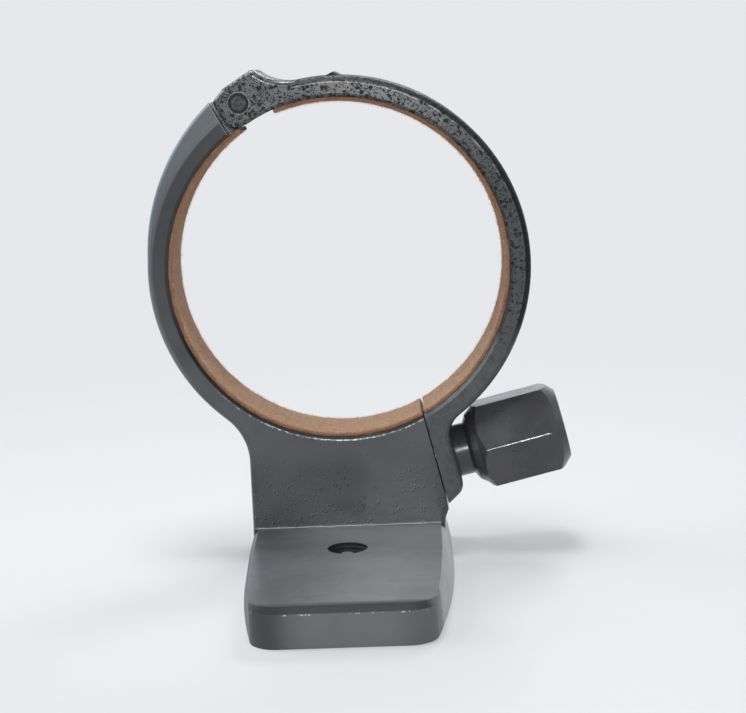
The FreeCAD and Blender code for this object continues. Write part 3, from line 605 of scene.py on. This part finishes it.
def run_bead():
    """The small rounded corner that the casting leaves between the post and the top of the foot."""
    radius, start, wide_of_post, sunk = 0.55, -20.1, 39.9, 0.2
    verts, faces = [], []
    steps, arc = 60, 6
    pick = random.Random(11)
    for step in range(steps + 1):
        across = start + wide_of_post * step / steps
        size = radius * (1 + pick.uniform(-0.12, 0.12))
        for count in range(arc + 1):
            angle = math.pi / 2 * count / arc
            depth = POST_FRONT - size + size * math.sin(angle)
            verts.append(Vector((across, depth, FOOT_TOP + size - size * math.cos(angle))) * MM)
        verts.append(Vector((across, POST_FRONT + sunk, FOOT_TOP - sunk)) * MM)
    wide = arc + 2
    for step in range(steps):
        for count in range(wide):
            after = (count + 1) % wide
            first = step * wide
            faces.append((first + count, first + wide + count, first + wide + after, first + after))
    faces.append(tuple(range(wide)))
    faces.append(tuple(reversed(range(steps * wide, (steps + 1) * wide))))
    piece = link_mesh("foot_bead", verts, faces, BASE_PAINT, "base")


# Floor, light and air

def lay_floor():
    """Pale floor that keeps the object's shadow near it and turns to plain paper further off."""
    mesh = bpy.data.meshes.new("floor")
    reach = 3.0
    corners = [(-reach, -reach, 0), (reach, -reach, 0), (reach, reach * 2, 0), (-reach, reach * 2, 0)]
    mesh.from_pydata([Vector(corner) for corner in corners], [], [(0, 1, 2, 3)])
    floor = bpy.data.objects.new("floor", mesh)
    scene.collection.objects.link(floor)
    material = bpy.data.materials.new("pale floor")
    material.use_nodes = True
    material.node_tree.nodes.clear()
    n = Tree(material.node_tree)
    coords = n.add("ShaderNodeTexCoord")
    cloud = n.noise(coords.outputs["Object"], 1.3, 2.0)
    tone = n.mix(cloud, (0.385, 0.39, 0.395, 1), (0.43, 0.435, 0.44, 1))
    lit = n.add("ShaderNodeBsdfPrincipled", {"Base Color": tone, "Roughness": 0.6})
    glow = n.add("ShaderNodeEmission", {"Color": PAPER, "Strength": 1.0})
    path = n.add("ShaderNodeLightPath")
    distance = n.add("ShaderNodeVectorMath", {0: coords.outputs["Object"]}, operation="LENGTH")
    distance = distance.outputs["Value"]
    seen = n.times(path.outputs["Is Camera Ray"], n.step(distance, 0.08, 0.30, 0.30, 1.0))
    mirrored = n.times(path.outputs["Is Glossy Ray"], n.step(distance, 0.05, 0.25, 0.8, 0.0))
    both = n.add("ShaderNodeMixShader", {0: n.most(seen, mirrored), 1: lit.outputs[0], 2: glow.outputs[0]})
    n.add("ShaderNodeOutputMaterial", {"Surface": both.outputs[0]})
    mesh.materials.append(material)


def fill_air():
    """The room: a bright paper backdrop low behind the object, and darker above and in front."""
    world = bpy.data.worlds.new("studio air")
    scene.world = world
    world.use_nodes = True
    world.node_tree.nodes.clear()
    n = Tree(world.node_tree)
    path = n.add("ShaderNodeLightPath")
    coords = n.add("ShaderNodeTexCoord")
    _, y, z = split(n, coords.outputs["Generated"])
    rear = n.step(y, -0.25, 0.35)
    low = n.step(z, 0.35, 0.62, 1.0, 0.0)
    level = n.math("ADD", n.times(rear, low, 1.15), 0.16)
    room = n.add("ShaderNodeBackground", {"Color": (0.90, 0.94, 1.0, 1), "Strength": level})
    paper = n.add("ShaderNodeBackground", {"Color": PAPER, "Strength": 1.0})
    both = n.add("ShaderNodeMixShader", {
        0: path.outputs["Is Camera Ray"], 1: room.outputs[0], 2: paper.outputs[0]})
    n.add("ShaderNodeOutputWorld", {"Surface": both.outputs[0]})


def hang_light(name, place, target, size, power, tint=(1, 1, 1)):
    """A soft rectangular lamp, in metres and watts, turned to a target."""
    data = bpy.data.lights.new(name, "AREA")
    data.shape = "RECTANGLE"
    data.size, data.size_y = size
    data.energy = power
    data.color = tint
    light = bpy.data.objects.new(name, data)
    light.location = Vector(place)
    light.rotation_euler = (Vector(target) - Vector(place)).to_track_quat("-Z", "Y").to_euler()
    scene.collection.objects.link(light)


add_camera()

BASE_PAINT = base_paint()
ARM_PAINT = arm_paint()
FELT = felt_cloth()
FIBRE = fibre_cloth()
KNOB = knob_black()
# Bright metal standing in for the highlight on the knob's front edge
KNOB_EDGE_HIGHLIGHT = turned_steel("knob edge highlight", (0.20, 0.20, 0.21, 1), (0.50, 0.51, 0.53, 1), 0.2)
STEEL = turned_steel("turned steel", (0.42, 0.43, 0.45, 1), (0.60, 0.61, 0.63, 1), 0.25)
PIN_PAINT = pin_paint()
WASHER = washer_black()

dress_node("base_casting", BASE_PAINT)
dress_node("arm_casting", ARM_PAINT)
dress_node("hinge_pin", PIN_PAINT)
dress_node("clamp_knob", KNOB)
dress_node("clamp_screw", STEEL)
dress_node("clamp_washer", WASHER)
dress_node("thread_bushing", STEEL)

lay_felt("base_lining", "base_felt", 122.85, 297.4, "base", 3)
lay_felt("arm_lining", "arm_felt", -61.6, 109.95, "arm", 5)
comb_fibres("base_nap", 123.2, 297.0, "base", 7, 15000)
comb_fibres("arm_nap", -61.2, 109.6, "arm", 9, 15000)

run_bead()
lay_knob_edge_highlight()
lay_floor()
fill_air()
hang_light("overhead", (-0.05, -0.02, 0.70), (0.0, 0.0, 0.05), (0.30, 0.22), 5.4)
hang_light("rear", (0.16, 0.42, 0.46), (0.0, -0.01, 0.01), (0.22, 0.16), 1.7)
hang_light("left", (-0.46, 0.11, 0.43), (-0.02, 0.02, 0.07), (0.45, 0.40), 2.6, (0.84, 0.97, 1.0))
hang_light("front", (0.02, -0.60, 0.18), (0.0, 0.0, 0.04), (0.07, 0.07), 1.3)

scene.view_settings.view_transform = "Standard"
